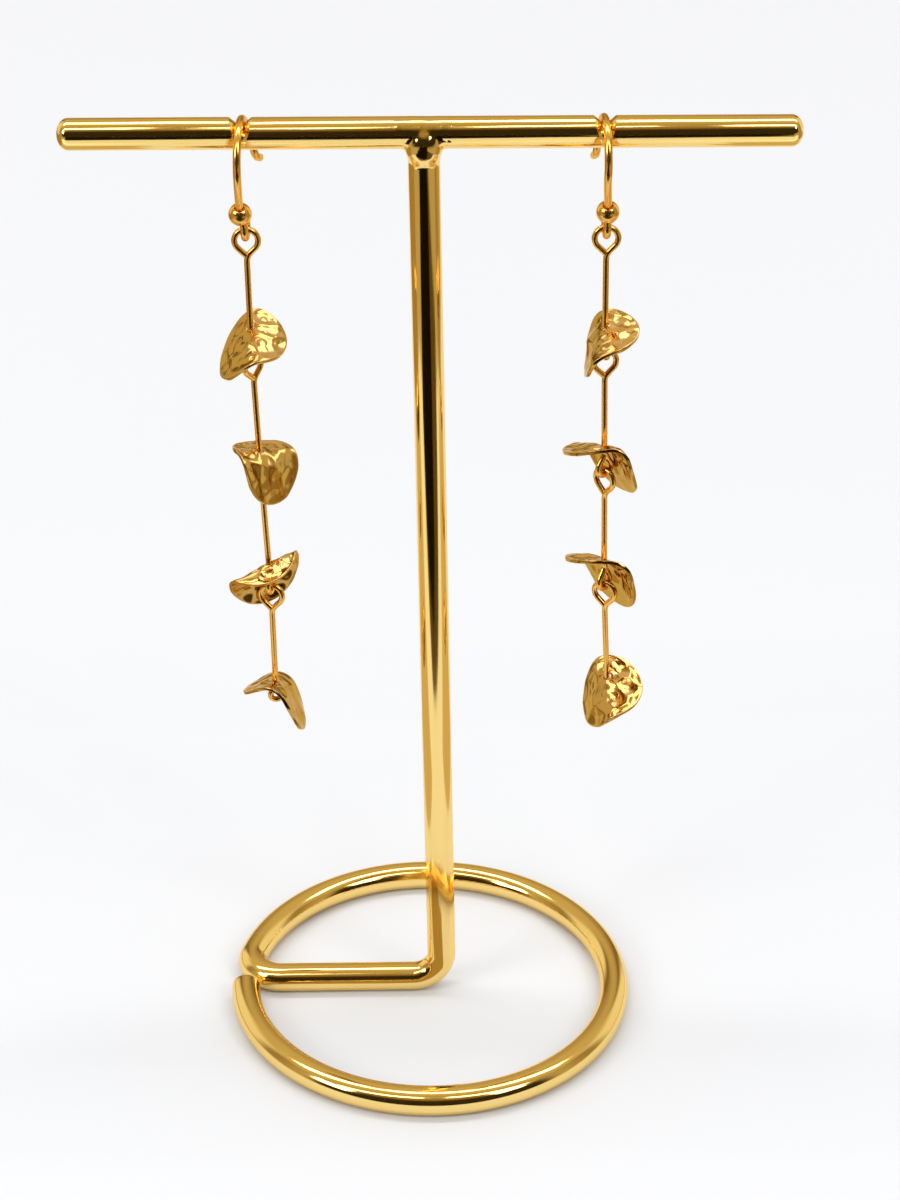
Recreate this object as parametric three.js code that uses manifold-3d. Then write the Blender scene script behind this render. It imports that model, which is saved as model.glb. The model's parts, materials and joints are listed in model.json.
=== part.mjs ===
// A pair of gold dangle earrings on a small T-bar stand. Millimetres, +Z up, front of the stand towards -Y.
// The origin is on the table under the middle of the stand's box. The stand is one bent and soldered rod;
// each earring is an ear hook, four wire links that hang from each other, and four folded round petals.
import * as THREE from "three";
import { mergeVertices } from "three/addons/utils/BufferGeometryUtils.js";
import Module from "manifold-3d";

const wasm = await Module();
wasm.setup();

// ---- driving dimensions -------------------------------------------------------------------------------

// Stand: rod, crossbar, post, foot and base ring.
const ROD_RADIUS = 1.66;
const ROD_SIDES = 14;
const BAR_LENGTH = 76.2;
const BAR_HEIGHT = 107.4; // axis of the crossbar above the table
const BAR_SETBACK = 1.8; // axis of the crossbar behind the middle of the base ring
const BAR_DOME = 1.2; // length of the low dome at each end of the crossbar
const TABLE_FLAT = 0.08; // worn off the underside of the rod where it rests
const POST_TOP_X = -0.8;
const POST_FOOT_X = 1.45;
const POST_FOOT_SETBACK = 1.2;
const POST_BEND_RADIUS = 3.4;
const RING_RADIUS = 21.9; // to the rod's axis, across the stand
const RING_STRETCH = 1.015; // the ring is a little longer from front to back
const RING_BEND_RADIUS = 3.6;
const RING_END_SETBACK = -0.2; // where the free end of the ring stops, just short of the bend
const POST_TOP_DROP = 0.4; // the post's cut end below the crossbar's axis, inside the solder
const WELD_RADIUS = 1.78;
const WELD_DROP = 1.4; // centre of the solder ball below the crossbar's axis

// Notches: a V-groove turned off centre, deep on top of the crossbar and fading out below.
const NOTCH_FLOOR_RADIUS = 1.24;
const NOTCH_DROP = 0.45;
const NOTCH_SLOPE = 1.2; // half width gained for each millimetre of depth
const NOTCH_FLOOR_HALF = 0.12;
const NOTCH_REACH = 1.1; // how far the cutter reaches outside the floor

// Ear hooks, in their own plane: "forward" points to the front of the stand.
const HOOK_WIRE = 0.415;
const HOOK_SIDES = 8;
const ARCH_RADIUS = 4.0;
const ARCH_LIFT = 1.32; // wire's axis above the crossbar's axis where the hook sits in its notch
const BALL_RADIUS = 1.21;
const BALL_FORWARD = 1.35;
const BALL_DROP = 8.25; // below the crossbar's axis
const LOOP_RADIUS = 1.05;
const LOOP_FORWARD = 0.1;
const LOOP_DROP = 10.2; // centre of the hook's small loop below the crossbar's axis
// Stations of the tail, from its tip up to the arch; swing is a share of the earring's tailSwing.
const TAIL = [
  { back: 5.15, drop: 4.5, swing: 1.0 },
  { back: 4.55, drop: 4.2, swing: 0.85 },
  { back: 4.12, drop: 3.6, swing: 0.7 },
];
const ARCH_SWING = 0.6; // share of tailSwing where the tail meets the arch
const ARCH_SWING_STATIONS = 6; // over which that swing dies away
// Handles of the leg's curve, from the arch down to the ball.
const LEG = [
  { forward: 3.55, drop: 4.9, swing: 0 },
  { forward: 2.35, drop: 6.9, swing: 0.8 },
];

// Wire links: a kite-shaped eye, a stem, and a loop like an upside-down kite.
const LINK_WIRE = 0.33;
const LINK_SIDES = 6;
const LINK_PITCH = 14.05;
const LINK_PLAY = 0.07; // gap between two wires that hang in each other
const EYE_RADIUS = 1.25;
const EYE_HEIGHT = 3.0;
const LOOP_BEND = 0.9;
const LOOP_HEIGHT = 2.55;
const KITE_NECK = 0.3; // straight wire past the point of an eye or loop, where the stem begins
const CUT_END_SHARE = 0.52; // how far up its straight side an eye's or loop's cut end stops
const CURL_RADIUS = 0.55;
const CURL_NECK = 0.5; // straight wire above the last link's curl
const CURL_DROP = 2.35; // lowest point of the last link's curl below its petal's hole

// Petals.
const PETAL_THICKNESS = 0.45;
const PETAL_HOLE = 0.62;
const PETAL_RINGS = 4;
const PETAL_SECTORS = 22;
const LINKS = 4; // links, and petals, on each earring

// Where each earring hangs, how its hook turns, and how far its four links lean as they hang.
// joints: sideways place of each eye, and of the last curl; holes: how far below its eye each petal sits.
// eyeTurns and loopTurns: how far each eye and loop is turned from facing the front, in degrees.
const EARRINGS = [
  {
    side: "left",
    notchX: -19.4,
    hookTurn: 4.5,
    tailSwing: 1.3,
    ballSwing: -0.15,
    loopSwing: 0.2,
    joints: [-19.2, -18.95, -18.35, -17.65, -17.4],
    holes: [11.25, 11.5, 11.3, 12.4],
    eyeTurns: [0, 45, 15, -15],
    loopTurns: [-55, -75, 75, 40],
  },
  {
    side: "right",
    notchX: 17.75,
    hookTurn: -2,
    tailSwing: -0.45,
    ballSwing: 0.4,
    loopSwing: 0.45,
    joints: [18.25, 18.5, 18.9, 19.3, 20.1],
    holes: [11.25, 11.4, 11.3, 12.2],
    eyeTurns: [0, 8, -46, -28],
    loopTurns: [-75, 40, 62, 40],
  },
];

// One row for each petal, from the top down. turn: the way the fold points, in degrees from +X towards +Y;
// tilt: how far it climbs that way; slopeA and slopeB: how steeply the wings on its left and right fall;
// fold: where the fold's middle is, off the hole, and width: how wide it bends; curlA and curlB: how much
// more each wing falls by its rim; across and along: the disc's centre from the hole.
const PETALS = {
  left: [
    { radius: 4.8, turn: 90, tilt: 15, slopeA: 45, slopeB: 20, fold: 0.6, width: 2.0,
      curlA: 15, curlB: 25, across: -0.6, along: -1.4 },
    { radius: 4.9, turn: 55, tilt: -15, slopeA: 10, slopeB: 80, fold: 0.5, width: 4.4,
      curlA: -10, curlB: 0, across: 1.5, along: 1.0 },
    { radius: 4.4, turn: 205, tilt: -15, slopeA: 30, slopeB: 60, fold: -0.1, width: 2.3,
      curlA: -10, curlB: 40, across: 1.7, along: 0.6 },
    { radius: 5.4, turn: 85, tilt: -20, slopeA: 30, slopeB: 65, fold: 0.2, width: 4.3,
      curlA: -10, curlB: 10, across: 1.3, along: 0.9 },
  ],
  right: [
    { radius: 4.6, turn: 265, tilt: -10, slopeA: -5, slopeB: 80, fold: 0.8, width: 3.9,
      curlA: 10, curlB: 0, across: 0.9, along: 1.2 },
    { radius: 5.4, turn: 110, tilt: -20, slopeA: 5, slopeB: 80, fold: 0.7, width: 2.4,
      curlA: 0, curlB: -35, across: 1.5, along: 1.9 },
    { radius: 5.2, turn: 115, tilt: -20, slopeA: -10, slopeB: 80, fold: 1.0, width: 3.4,
      curlA: 20, curlB: -20, across: 1.9, along: 2.0 },
    { radius: 4.6, turn: 275, tilt: -20, slopeA: 5, slopeB: 70, fold: 0.2, width: 4.2,
      curlA: -35, curlB: -5, across: 0.7, along: 1.4 },
  ],
};

// Finishes.
const STAND_GOLD = { color: 0xd9a93c, metalness: 1, roughness: 0.08 };
const HOOK_GOLD = { color: 0xdca638, metalness: 1, roughness: 0.1 };
const WIRE_GOLD = { color: 0xdaa239, metalness: 1, roughness: 0.12 };
const PETAL_GOLD = { color: 0xc9983a, metalness: 1, roughness: 0.2 };

// ---- helpers ------------------------------------------------------------------------------------------

const radians = THREE.MathUtils.degToRad;
const vec = (x, y, z) => new THREE.Vector3(x, y, z);

// A path through given stations, so that straight stretches take one step and bends take several.
class StationPath extends THREE.Curve {
  constructor(stations) {
    super();
    this.stations = stations;
  }
  getPointAt(u, target = new THREE.Vector3()) {
    const at = u * (this.stations.length - 1);
    const i = Math.min(Math.floor(at + 1e-6), this.stations.length - 2);
    return target.lerpVectors(this.stations[i], this.stations[i + 1], at - i);
  }
  getTangentAt(u, target = new THREE.Vector3()) {
    const last = this.stations.length - 1;
    const i = Math.round(u * last);
    const before = this.stations[Math.max(i - 1, 0)];
    const here = this.stations[i];
    const after = this.stations[Math.min(i + 1, last)];
    const arriving = here.clone().sub(before).normalize();
    const leaving = after.clone().sub(here).normalize();
    return target.addVectors(arriving, leaving).normalize();
  }
}

// A round rod or wire of the given radius along the stations.
function wire(stations, radius, sides) {
  const corners = Array.from({ length: sides }, (_, i) => {
    const angle = ((i + 0.5) / sides) * 2 * Math.PI;
    return new THREE.Vector2(radius * Math.cos(angle), radius * Math.sin(angle));
  });
  return new THREE.ExtrudeGeometry(new THREE.Shape(corners), {
    steps: stations.length - 1,
    extrudePath: new StationPath(stations),
  });
}

// Stations round a circle's arc: centre plus radius times (cos a * axisA + sin a * axisB).
function arc(centre, radius, axisA, axisB, fromDegrees, toDegrees, steps) {
  return Array.from({ length: steps + 1 }, (_, i) => {
    const a = radians(fromDegrees + ((toDegrees - fromDegrees) * i) / steps);
    return centre
      .clone()
      .addScaledVector(axisA, radius * Math.cos(a))
      .addScaledVector(axisB, radius * Math.sin(a));
  });
}

// The rounded corner between two straight stretches that meet at `corner`.
function roundedCorner(before, corner, after, radius, steps) {
  const back = before.clone().sub(corner).normalize();
  const ahead = after.clone().sub(corner).normalize();
  const half = back.angleTo(ahead) / 2;
  const middle = back.clone().add(ahead).normalize();
  const centre = corner.clone().addScaledVector(middle, radius / Math.sin(half));
  const start = corner.clone().addScaledVector(back, radius / Math.tan(half));
  const from = start.clone().sub(centre).normalize();
  const side = back.clone().negate();
  const sweep = 180 - THREE.MathUtils.radToDeg(2 * half);
  return arc(centre, radius, from, side, 0, sweep, steps);
}

function toSolid(geometry) {
  const bare = geometry.clone();
  bare.deleteAttribute("normal");
  bare.deleteAttribute("uv");
  const merged = mergeVertices(bare, 1e-4);
  return new wasm.Manifold(
    new wasm.Mesh({
      numProp: 3,
      vertProperties: merged.attributes.position.array,
      triVerts: new Uint32Array(merged.index.array),
    }),
  );
}

function toGeometry(solid) {
  const mesh = solid.getMesh();
  const geometry = new THREE.BufferGeometry();
  geometry.setAttribute("position", new THREE.BufferAttribute(mesh.vertProperties, 3));
  geometry.setIndex(new THREE.BufferAttribute(mesh.triVerts, 1));
  geometry.computeVertexNormals();
  return geometry;
}

function part(name, geometry, finish) {
  const mesh = new THREE.Mesh(geometry, new THREE.MeshStandardMaterial(finish));
  mesh.name = name;
  return mesh;
}

// ---- stand --------------------------------------------------------------------------------------------

const X = vec(1, 0, 0);
const Y = vec(0, 1, 0);
const Z = vec(0, 0, 1);
const ROD_AXIS_HEIGHT = ROD_RADIUS - TABLE_FLAT;

// The crossbar: a turned rod with a low dome at each end, lying along X.
function crossbar() {
  const half = BAR_LENGTH / 2;
  const dome = [0, 30, 60, 90].map((degrees) => {
    const a = radians(degrees);
    return new THREE.Vector2(ROD_RADIUS * Math.sin(a), half - BAR_DOME + BAR_DOME * Math.cos(a));
  });
  const lower = dome.map((p) => new THREE.Vector2(p.x, -p.y));
  return new THREE.LatheGeometry([...lower, ...dome.reverse()], ROD_SIDES)
    .rotateZ(-Math.PI / 2)
    .translate(0, BAR_SETBACK, BAR_HEIGHT);
}

// The ring of metal that the lathe takes off to make one notch.
function notchCutter(x) {
  const outer = NOTCH_FLOOR_RADIUS + NOTCH_REACH;
  const wide = NOTCH_FLOOR_HALF + NOTCH_SLOPE * NOTCH_REACH;
  const profile = [
    new THREE.Vector2(NOTCH_FLOOR_RADIUS, -NOTCH_FLOOR_HALF),
    new THREE.Vector2(outer, -wide),
    new THREE.Vector2(outer, wide),
    new THREE.Vector2(NOTCH_FLOOR_RADIUS, NOTCH_FLOOR_HALF),
    new THREE.Vector2(NOTCH_FLOOR_RADIUS, -NOTCH_FLOOR_HALF),
  ];
  return new THREE.LatheGeometry(profile, 20)
    .rotateZ(-Math.PI / 2)
    .translate(x, BAR_SETBACK, BAR_HEIGHT - NOTCH_DROP);
}

// The bent rod: down the post, along the foot to the left, and once round the base ring.
function bentRod() {
  const top = vec(POST_TOP_X, BAR_SETBACK, BAR_HEIGHT - POST_TOP_DROP);
  const corner = vec(POST_FOOT_X, POST_FOOT_SETBACK, ROD_AXIS_HEIGHT);
  // The foot runs into the ring round an arc that touches both, worked out on a true circle and then
  // stretched from front to back with the ring.
  const footY = POST_FOOT_SETBACK / RING_STRETCH;
  const bendY = footY + RING_BEND_RADIUS;
  const bendX = -Math.sqrt((RING_RADIUS - RING_BEND_RADIUS) ** 2 - bendY ** 2);
  const touch = THREE.MathUtils.radToDeg(Math.atan2(bendY, bendX));
  const endAngle = 180 - THREE.MathUtils.radToDeg(Math.asin(RING_END_SETBACK / RING_RADIUS));
  const footEnd = vec(bendX, POST_FOOT_SETBACK, ROD_AXIS_HEIGHT);
  const bend = arc(vec(bendX, bendY, 0), RING_BEND_RADIUS, X, Y, 270, touch, 6);
  const ring = arc(vec(0, 0, 0), RING_RADIUS, X, Y, touch, endAngle - 360, 56);
  const lying = [...bend.slice(1), ...ring.slice(1)].map((p) =>
    vec(p.x, p.y * RING_STRETCH, ROD_AXIS_HEIGHT),
  );
  const stations = [
    top,
    ...roundedCorner(top, corner, footEnd, POST_BEND_RADIUS, 7),
    footEnd,
    ...lying,
  ];
  return wire(stations, ROD_RADIUS, ROD_SIDES);
}

function displayStand() {
  const weld = new THREE.SphereGeometry(WELD_RADIUS, 18, 12).translate(
    POST_TOP_X,
    BAR_SETBACK,
    BAR_HEIGHT - WELD_DROP,
  );
  let stand = toSolid(bentRod()).add(toSolid(crossbar())).add(toSolid(weld));
  for (const earring of EARRINGS) stand = stand.subtract(toSolid(notchCutter(earring.notchX)));
  // The rod is flat where it rests, so the stand doesn't rock.
  const table = new THREE.BoxGeometry(200, 200, 10).translate(0, 0, -5);
  return part("display_stand", toGeometry(stand.subtract(toSolid(table))), STAND_GOLD);
}

// ---- ear hook -----------------------------------------------------------------------------------------

// From the flicked tail over the arch, down the leg through the ball, and round the small loop.
function earHook({ side, notchX, hookTurn, tailSwing, ballSwing, loopSwing }) {
  const turn = radians(hookTurn);
  const forward = vec(-Math.sin(turn), -Math.cos(turn), 0);
  const sideways = vec(Math.cos(turn), -Math.sin(turn), 0);
  const seat = vec(notchX, BAR_SETBACK, BAR_HEIGHT);
  const at = (ahead, up, swing = 0) =>
    seat.clone().addScaledVector(forward, ahead).addScaledVector(Z, up).addScaledVector(sideways, swing);
  const archCentre = at(0, ARCH_LIFT - ARCH_RADIUS);
  const arch = arc(archCentre, ARCH_RADIUS, forward, Z, 180, -10, 16);
  // The back of the arch swings sideways, more and more towards the tail.
  arch.slice(0, ARCH_SWING_STATIONS).forEach((p, i) => {
    const share = ARCH_SWING * (1 - i / ARCH_SWING_STATIONS) ** 2;
    p.addScaledVector(sideways, tailSwing * share);
  });
  const tail = TAIL.map(({ back, drop, swing }) => at(-back, -drop, swing * tailSwing));
  const handles = LEG.map((h) => at(h.forward, -h.drop, h.swing * ballSwing));
  const ballCentre = at(BALL_FORWARD, -BALL_DROP, ballSwing);
  const leg = new THREE.CubicBezierCurve3(arch.at(-1), ...handles, ballCentre).getPoints(6);
  const loopCentre = at(LOOP_FORWARD, -LOOP_DROP, loopSwing);
  const loop = arc(loopCentre, LOOP_RADIUS, forward, Z, 20, -215, 14);
  const stations = [...tail, ...arch, ...leg.slice(1), ...loop];
  const ball = new THREE.SphereGeometry(BALL_RADIUS, 14, 10).translate(...ballCentre);
  const solid = toSolid(wire(stations, HOOK_WIRE, HOOK_SIDES)).add(toSolid(ball));
  return part(`ear_hook_${side}`, toGeometry(solid), HOOK_GOLD);
}

// ---- wire links ---------------------------------------------------------------------------------------

// Height of the top of the first eye: the eye's wire rests in the bottom of the hook's loop.
const FIRST_EYE_HEIGHT = BAR_HEIGHT - LOOP_DROP - LOOP_RADIUS + HOOK_WIRE + LINK_WIRE + LINK_PLAY;

// Where link number i of an earring hangs; i = LINKS is where a further link would.
function jointPlace(earring, i) {
  return vec(earring.joints[i], BAR_SETBACK, FIRST_EYE_HEIGHT - i * LINK_PITCH);
}

// A kite in the plane of `across` and `up`: a round end, and straight sides that run to the point
// `height` from the round end's crown. It starts at the side where the wire's cut end stops.
function kite(crown, across, up, radius, height, steps) {
  const centre = crown.clone().addScaledVector(up, -radius);
  const half = THREE.MathUtils.radToDeg(Math.asin(radius / (height - radius)));
  const point = crown.clone().addScaledVector(up, -height);
  const round = arc(centre, radius, across, up, 180 + half, -half, steps);
  const cutEnd = point.clone().lerp(round[0], CUT_END_SHARE);
  return { cutEnd, round, point };
}

function direction(degrees) {
  return vec(Math.cos(radians(degrees)), Math.sin(radians(degrees)), 0);
}

function linkWire(earring, i) {
  const top = jointPlace(earring, i);
  const bottom = jointPlace(earring, i + 1);
  const down = bottom.clone().sub(top).normalize();
  const up = down.clone().negate();
  const eye = kite(top, direction(earring.eyeTurns[i]), up, EYE_RADIUS, EYE_HEIGHT, 10);
  const stem = eye.point.clone().addScaledVector(down, KITE_NECK);
  const across = direction(earring.loopTurns[i]);
  let ending;
  if (i < LINKS - 1) {
    const crown = bottom.clone().addScaledVector(down, LINK_WIRE * 2 + LINK_PLAY);
    const loop = kite(crown, across, down, LOOP_BEND, LOOP_HEIGHT, 8);
    const neck = loop.point.clone().addScaledVector(up, KITE_NECK);
    ending = [neck, ...loop.round.reverse(), loop.cutEnd];
  } else {
    const lowest = top.clone().addScaledVector(down, earring.holes[i] + CURL_DROP);
    const centre = lowest.clone().addScaledVector(up, CURL_RADIUS);
    ending = arc(centre, CURL_RADIUS, across, up, 20, -230, 9);
    ending.unshift(centre.clone().addScaledVector(up, CURL_RADIUS + CURL_NECK));
  }
  const stations = [eye.cutEnd, ...eye.round, stem, ...ending];
  return part(`link_wire_${earring.side}_${i + 1}`, wire(stations, LINK_WIRE, LINK_SIDES), WIRE_GOLD);
}

// ---- petals -------------------------------------------------------------------------------------------

// How far the sheet has fallen away from level at a distance u across the fold, in radians.
function fall(u, petal) {
  const t = THREE.MathUtils.clamp((u - petal.fold) / petal.width + 0.5, 0, 1);
  const bend = t * t * (3 - 2 * t) * (petal.slopeA + petal.slopeB) - petal.slopeA;
  const beyondB = Math.max(0, u - petal.fold - petal.width / 2) / petal.radius;
  const beyondA = Math.max(0, petal.fold - petal.width / 2 - u) / petal.radius;
  return radians(bend + petal.curlB * beyondB - petal.curlA * beyondA);
}

// Where the sheet's middle lies at u: level distance and height, walked out from the hole in short steps.
function section(u, petal) {
  const steps = 24;
  const step = u / steps;
  let level = 0;
  let height = 0;
  for (let k = 0; k < steps; k++) {
    const angle = fall((k + 0.5) * step, petal);
    level += Math.cos(angle) * step;
    height -= Math.sin(angle) * step;
  }
  return { level, height, angle: fall(u, petal) };
}

// A flat pierced disc whose inner rings are centred on the hole and outer rings on the disc.
function flatPetal(petal) {
  const half = PETAL_THICKNESS / 2;
  const profile = [];
  for (let k = 0; k <= PETAL_RINGS; k++) profile.push(new THREE.Vector2(k / PETAL_RINGS, -half));
  for (let k = PETAL_RINGS; k >= 0; k--) profile.push(new THREE.Vector2(k / PETAL_RINGS, half));
  profile.push(new THREE.Vector2(0, -half));
  const shares = profile.map((p) => new THREE.Vector2(p.x + 1, p.y));
  const flat = new THREE.LatheGeometry(shares, PETAL_SECTORS);
  const place = flat.getAttribute("position");
  for (let n = 0; n < place.count; n++) {
    const around = Math.atan2(place.getZ(n), place.getX(n));
    const share = Math.hypot(place.getX(n), place.getZ(n)) - 1;
    const reach = THREE.MathUtils.lerp(PETAL_HOLE, petal.radius, share);
    place.setXYZ(
      n,
      petal.across * share + reach * Math.cos(around),
      place.getY(n),
      -(petal.along * share) + reach * Math.sin(around),
    );
  }
  return flat;
}

function petal(earring, i) {
  const shape = PETALS[earring.side][i];
  const turn = radians(shape.turn);
  const tilt = radians(shape.tilt);
  const along = vec(Math.cos(turn) * Math.cos(tilt), Math.sin(turn) * Math.cos(tilt), Math.sin(tilt));
  const across = vec(Math.sin(turn), -Math.cos(turn), 0);
  const up = across.clone().cross(along);
  const share = earring.holes[i] / LINK_PITCH;
  const hole = jointPlace(earring, i).lerp(jointPlace(earring, i + 1), share);
  const geometry = flatPetal(shape);
  const place = geometry.getAttribute("position");
  for (let n = 0; n < place.count; n++) {
    const { level, height, angle } = section(place.getX(n), shape);
    const through = place.getY(n);
    const point = hole
      .clone()
      .addScaledVector(across, level + through * Math.sin(angle))
      .addScaledVector(up, height + through * Math.cos(angle))
      .addScaledVector(along, -place.getZ(n));
    place.setXYZ(n, point.x, point.y, point.z);
  }
  geometry.computeVertexNormals();
  return part(`petal_${earring.side}_${i + 1}`, geometry, PETAL_GOLD);
}

// ---- assembly -----------------------------------------------------------------------------------------

const group = new THREE.Group();
group.add(displayStand());
for (const earring of EARRINGS) {
  group.add(earHook(earring));
  for (let i = 0; i < LINKS; i++) group.add(linkWire(earring, i), petal(earring, i));
}

export default group;
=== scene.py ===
# %% [markdown]
# # Gold dangle earrings on a T-bar stand
# Two earrings hang in the notches of a small metal stand. Everything is gold: a polished bent rod with a
# crossbar, two ear wires with a ball, eight links of thin wire and eight folded, hammered petals.
# The frame that is loaded first holds each part at its real size and place, in metres, with +Z up and the
# front towards -Y. Here each part gets its finished surface, and the frame says where it goes.

# %% Load the frame
import json
import math
import bpy
from mathutils import Matrix, Vector
from mathutils.geometry import interpolate_bezier

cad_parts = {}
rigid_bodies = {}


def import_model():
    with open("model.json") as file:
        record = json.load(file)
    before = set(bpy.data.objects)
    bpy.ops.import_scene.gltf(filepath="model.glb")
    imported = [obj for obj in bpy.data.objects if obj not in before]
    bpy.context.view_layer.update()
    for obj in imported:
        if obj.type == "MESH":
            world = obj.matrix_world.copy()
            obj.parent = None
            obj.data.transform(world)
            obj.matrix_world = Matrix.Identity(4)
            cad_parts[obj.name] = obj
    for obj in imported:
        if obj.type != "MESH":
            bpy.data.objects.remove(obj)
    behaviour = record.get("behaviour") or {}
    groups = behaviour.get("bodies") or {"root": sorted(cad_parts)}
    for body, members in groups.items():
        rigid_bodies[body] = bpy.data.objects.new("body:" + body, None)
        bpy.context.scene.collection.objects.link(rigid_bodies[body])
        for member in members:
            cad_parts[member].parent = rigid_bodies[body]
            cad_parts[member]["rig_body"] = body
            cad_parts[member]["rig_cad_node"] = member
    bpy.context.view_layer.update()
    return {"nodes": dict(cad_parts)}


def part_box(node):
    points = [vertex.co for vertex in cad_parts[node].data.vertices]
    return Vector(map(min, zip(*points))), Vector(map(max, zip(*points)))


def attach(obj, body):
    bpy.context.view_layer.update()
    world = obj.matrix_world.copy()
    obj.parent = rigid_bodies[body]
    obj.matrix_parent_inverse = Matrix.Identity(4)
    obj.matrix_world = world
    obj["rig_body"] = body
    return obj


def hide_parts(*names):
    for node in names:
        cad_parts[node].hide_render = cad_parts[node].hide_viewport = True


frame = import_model()

# %% [markdown]
# ## Working habits
# An operator acts on whatever is selected, so each piece starts from an empty selection. A finished piece
# has its place in its mesh and its object at the origin, so its place goes into the mesh straight away.
# Loops and faces are picked by where they are, which stays readable and survives a change of size.

# %% Helpers for picking and opening pieces
MM = 0.001
CLOSE = 0.001 * MM  # places nearer than this are the same place


def deselect():
    if bpy.context.mode != "OBJECT":
        bpy.ops.object.mode_set(mode="OBJECT")
    bpy.ops.object.select_all(action="DESELECT")


def pick(piece):
    deselect()
    piece.select_set(True)
    bpy.context.view_layer.objects.active = piece


def open_new(name):
    """Name the primitive that was just added, put its place into its mesh, and open it for editing."""
    piece = bpy.context.object
    piece.name = name
    bpy.ops.object.transform_apply(location=True, rotation=True, scale=True)
    bpy.ops.object.mode_set(mode="EDIT")
    bpy.ops.mesh.select_mode(type="VERT")
    bpy.ops.mesh.select_all(action="SELECT")
    return piece


def start_point(name, place):
    """Open a new piece that is a single selected point, from which a line can be drawn."""
    deselect()
    bpy.ops.mesh.primitive_plane_add(size=0.1 * MM, location=place)
    piece = open_new(name)
    bpy.ops.mesh.merge(type="CENTER")
    return piece


def select_points(piece, test):
    """In edit mode, select only the vertices whose place passes the test."""
    bpy.ops.mesh.select_mode(type="VERT")
    bpy.ops.mesh.select_all(action="DESELECT")
    bpy.ops.object.mode_set(mode="OBJECT")
    for vertex in piece.data.vertices:
        vertex.select = bool(test(vertex.co))
    bpy.ops.object.mode_set(mode="EDIT")


def extrude(move):
    bpy.ops.mesh.extrude_region_move(TRANSFORM_OT_translate={"value": tuple(move)})


def walk(here, places):
    """Extrude the selected point from here through each of the places in turn."""
    for place in places:
        extrude(place - here)
        here = place


def spin(degrees, centre, axis, steps):
    """Sweep the selection round an axis by the right-hand rule, which is the operator's other way round."""
    bpy.ops.mesh.spin(steps=steps, angle=-math.radians(degrees), center=tuple(centre), axis=tuple(axis))


def shade_smooth_up_to(degrees):
    """Shade the picked piece smooth, and leave the edges that are sharper than this crisp."""
    bpy.ops.object.shade_smooth_by_angle(angle=math.radians(degrees))


def apply_modifier(piece, kind, **settings):
    modifier = piece.modifiers.new(kind.lower(), kind)
    for name, value in settings.items():
        setattr(modifier, name, value)
    bpy.ops.object.modifier_apply(modifier=modifier.name)


print("helpers ready")

# %% [markdown]
# ## The bent rod
# Post, foot and base ring are one rod, bent cold round a former. It is modelled the same way: a circle is
# spun round the ring's centre, then round the small bend, pushed straight along the foot, spun up into the
# post and pushed up to the crossbar. Spinning keeps the section round through every bend, where a curve
# with a bevel would pinch the tight ones.

# %% Sizes of the stand
stand_low, stand_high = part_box("display_stand")
ROD_RADIUS = 1.66 * MM
ROD_SEGMENTS = 48
ROD_WEAR = 0.08 * MM  # the rod is worn flat by that much where it rests
ROD_AXIS_HEIGHT = ROD_RADIUS - ROD_WEAR
BAR_AXIS = Vector((0, 1.8 * MM, stand_high.z - ROD_RADIUS))
POST_TOP = BAR_AXIS + Vector((-0.8, 0, -0.4)) * MM
POST_CORNER = Vector((1.45 * MM, 1.2 * MM, ROD_AXIS_HEIGHT))
POST_BEND_RADIUS = 3.4 * MM
RING_RADIUS = 21.9 * MM
RING_STRETCH = 1.015
RING_BEND_RADIUS = 3.6 * MM
RING_END_SETBACK = 0.2 * MM
X_AXIS = Vector((1, 0, 0))
Z_AXIS = Vector((0, 0, 1))
print("stand box mm:", [round(1000 * c, 2) for c in stand_high - stand_low])
print("crossbar axis at mm:", [round(1000 * c, 2) for c in BAR_AXIS])

# %% Where the small bend touches the ring and the foot
foot_y = POST_CORNER.y / RING_STRETCH
bend_y = foot_y + RING_BEND_RADIUS
bend_x = -math.sqrt((RING_RADIUS - RING_BEND_RADIUS) ** 2 - bend_y**2)
touch_angle = math.degrees(math.atan2(bend_y, bend_x))
end_angle = 180 + math.degrees(math.asin(RING_END_SETBACK / RING_RADIUS))
print("ring sweeps", round(360 - end_angle + touch_angle, 1), "degrees")

# %% Ring and small bend
RING_STEPS = 200
BEND_STEPS = 28
deselect()
start = Matrix.Rotation(math.radians(end_angle), 3, "Z") @ Vector((RING_RADIUS, 0, 0))
bpy.ops.mesh.primitive_circle_add(
    vertices=ROD_SEGMENTS,
    radius=ROD_RADIUS,
    location=start + Vector((0, 0, ROD_AXIS_HEIGHT)),
    rotation=(math.pi / 2, 0, math.radians(end_angle)),
)
bent_rod = open_new("bent_rod")
spin(360 - end_angle + touch_angle, (0, 0, ROD_AXIS_HEIGHT), Z_AXIS, RING_STEPS)
spin(270 - touch_angle, (bend_x, bend_y, ROD_AXIS_HEIGHT), Z_AXIS, BEND_STEPS)
bpy.ops.mesh.select_all(action="SELECT")
bpy.ops.transform.resize(value=(1, RING_STRETCH, 1), center_override=(0, 0, 0))
print("small bend's centre at mm:", round(1000 * bend_x, 2), round(1000 * bend_y, 2))

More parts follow.
